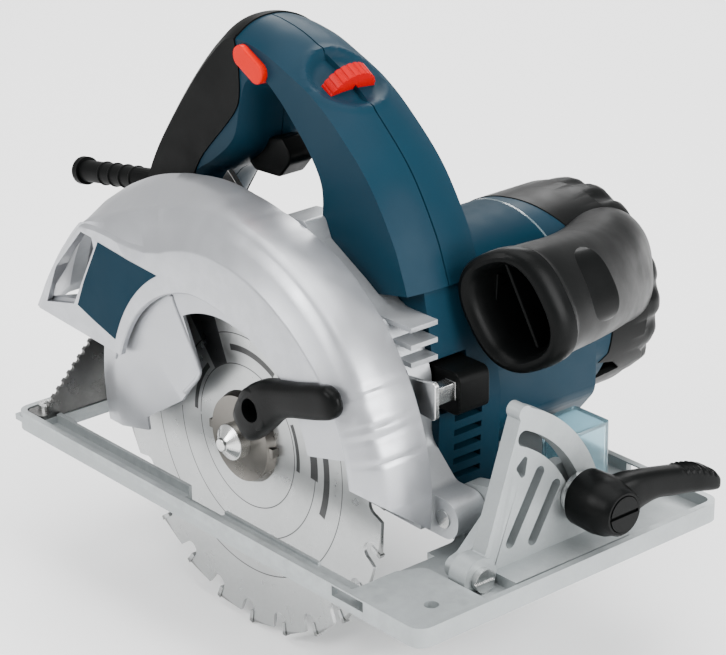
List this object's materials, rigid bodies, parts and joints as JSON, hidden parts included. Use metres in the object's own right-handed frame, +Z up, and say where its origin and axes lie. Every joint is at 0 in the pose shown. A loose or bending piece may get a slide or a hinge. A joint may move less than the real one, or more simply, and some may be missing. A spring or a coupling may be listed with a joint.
{
  "type": "hand-held circular saw",
  "caption": "Corded hand-held circular saw with swinging lower guard, tilting and depth-adjustable base plate, D handle with trigger, and a front grip over the side motor.",
  "frame": {"origin": "on the sole plane of the base plate, straight below the arbor axis, in the middle plane of the blade", "axes": "+X forward, the direction of travel; +Y from the blade to the motor (left side); +Z up, away from the work"},
  "size_m": [0.3624, 0.227, 0.2723],
  "materials": {
    "base_casting": "satin sand-cast and machined",
    "guard_paint": "satin silver paint on cast magnesium",
    "case_casting": "satin cast",
    "dark_steel": "dark zinc-plated stamped steel",
    "bright_steel": "bright turned steel",
    "blade_steel": "ground disc with printed arcs",
    "spring_steel": "drawn wire",
    "blue_housing": "petrol blue fine-textured nylon",
    "black_housing": "black satin nylon",
    "grip_rubber": "dimpled black elastomer",
    "red_plastic": "red moulded plastic",
    "button_plastic": "orange-red moulded plastic",
    "label_film": "blank dark teal film",
    "clear_plastic": "clear polycarbonate",
    "copper": "copper segments",
    "laminations": "stacked laminations",
    "carbon": "pressed carbon"
  },
  "bodies": {
    "base": {"base_plate": "base_casting", "rear_bracket": "dark_steel", "bracket_screws": "bright_steel", "clear_cover": "clear_plastic", "bevel_pivot_bolt": "bright_steel", "rear_pivot_pin": "bright_steel"},
    "tilt_frame": {"bevel_frame": "base_casting", "depth_guide": "dark_steel", "depth_pivot_pin": "bright_steel", "bevel_clamp_bolt": "bright_steel", "bevel_washer": "bright_steel"},
    "bevel_clamp": {"bevel_lever": "black_housing", "bevel_lever_screw": "black_housing"},
    "saw": {"upper_guard": "guard_paint", "guard_label": "label_film", "gear_case": "case_casting", "bearing_flange": "case_casting", "motor_housing": "blue_housing", "motor_cap": "black_housing", "front_handle": "black_housing", "handle_right_shell": "blue_housing", "handle_left_shell": "blue_housing", "grip_cover": "grip_rubber", "cord_sleeve": "grip_rubber", "field_stator": "laminations", "upper_brush_holder": "black_housing", "lower_brush_holder": "black_housing", "upper_carbon_brush": "carbon", "lower_carbon_brush": "carbon", "power_switch": "black_housing", "speed_module": "black_housing", "dial_pin": "bright_steel", "idler_pin": "bright_steel", "front_spindle_bearing": "bright_steel", "rear_spindle_bearing": "bright_steel", "front_motor_bearing": "bright_steel", "rear_motor_bearing": "bright_steel", "guard_spring": "spring_steel", "depth_clamp_bolt": "bright_steel"},
    "depth_clamp": {"depth_clamp_lever": "black_housing"},
    "arbor": {"spindle": "bright_steel", "inner_flange": "dark_steel", "outer_flange": "dark_steel", "saw_blade": "blade_steel", "blade_bolt": "bright_steel", "drive_gear": "bright_steel"},
    "idler": {"idler_gear": "bright_steel"},
    "armature": {"motor_shaft": "bright_steel", "armature_core": "laminations", "commutator": "copper", "cooling_fan": "black_housing"},
    "swing_guard": {"lower_guard": "guard_paint", "guard_lever": "black_housing"},
    "trigger_body": {"trigger": "black_housing"},
    "lock_off": {"lock_off_button": "button_plastic"},
    "dial": {"speed_dial": "red_plastic"},
    "arbor_lock": {"spindle_lock": "black_housing"}
  },
  "joints": [
    {"name": "bevel_tilt", "type": "hinge", "parent": "base", "child": "tilt_frame", "pos_m": [0, 0.012, 0.009], "axis": [1, 0, 0], "range_deg": [0, 45]},
    {"name": "bevel_clamp_turn", "type": "hinge", "parent": "tilt_frame", "child": "bevel_clamp", "pos_m": [0.15, 0.07, 0.029], "axis": [1, 0, 0], "range_deg": [0, 35]},
    {"name": "depth_swing", "type": "hinge", "parent": "tilt_frame", "child": "saw", "pos_m": [0.108, 0.03, 0.022], "axis": [0, 1, 0], "range_deg": [0, 30]},
    {"name": "depth_clamp_turn", "type": "hinge", "parent": "saw", "child": "depth_clamp", "pos_m": [-0.06809, 0.035, 0.03989], "axis": [0, 1, 0], "range_deg": [-30, 0]},
    {"name": "blade_spin", "type": "hinge", "parent": "saw", "child": "arbor", "pos_m": [0, 0, 0.03], "axis": [0, 1, 0], "continuous": true},
    {"name": "idler_spin", "type": "hinge", "parent": "saw", "child": "idler", "pos_m": [0.0192, 0.03, 0.0556], "axis": [0, 1, 0], "continuous": true},
    {"name": "motor_spin", "type": "hinge", "parent": "saw", "child": "armature", "pos_m": [0.027, 0.1, 0.066], "axis": [0, 1, 0], "continuous": true},
    {"name": "guard_swing", "type": "hinge", "parent": "saw", "child": "swing_guard", "pos_m": [0, 0, 0.03], "axis": [0, 1, 0], "range_deg": [-145, 0]},
    {"name": "trigger_pull", "type": "slide", "parent": "saw", "child": "trigger_body", "axis": [-1, 0, 0], "range_m": [0, 0.004], "stiffness_N_per_m": 800},
    {"name": "lock_off_press", "type": "slide", "parent": "saw", "child": "lock_off", "axis": [0, 1, 0], "range_m": [0, 0.003], "stiffness_N_per_m": 500},
    {"name": "dial_turn", "type": "hinge", "parent": "saw", "child": "dial", "pos_m": [0.013, 0.05, 0.1845], "axis": [0.8468, 0, -0.5319], "range_deg": [-150, 150]},
    {"name": "arbor_lock_slide", "type": "slide", "parent": "saw", "child": "arbor_lock", "axis": [-1, 0, 0], "range_m": [0, 0.003], "stiffness_N_per_m": 400}
  ],
  "couplings": [
    {"joint": "idler_spin", "follows": "blade_spin", "ratio": -3},
    {"joint": "motor_spin", "follows": "blade_spin", "ratio": 4.8}
  ]
}
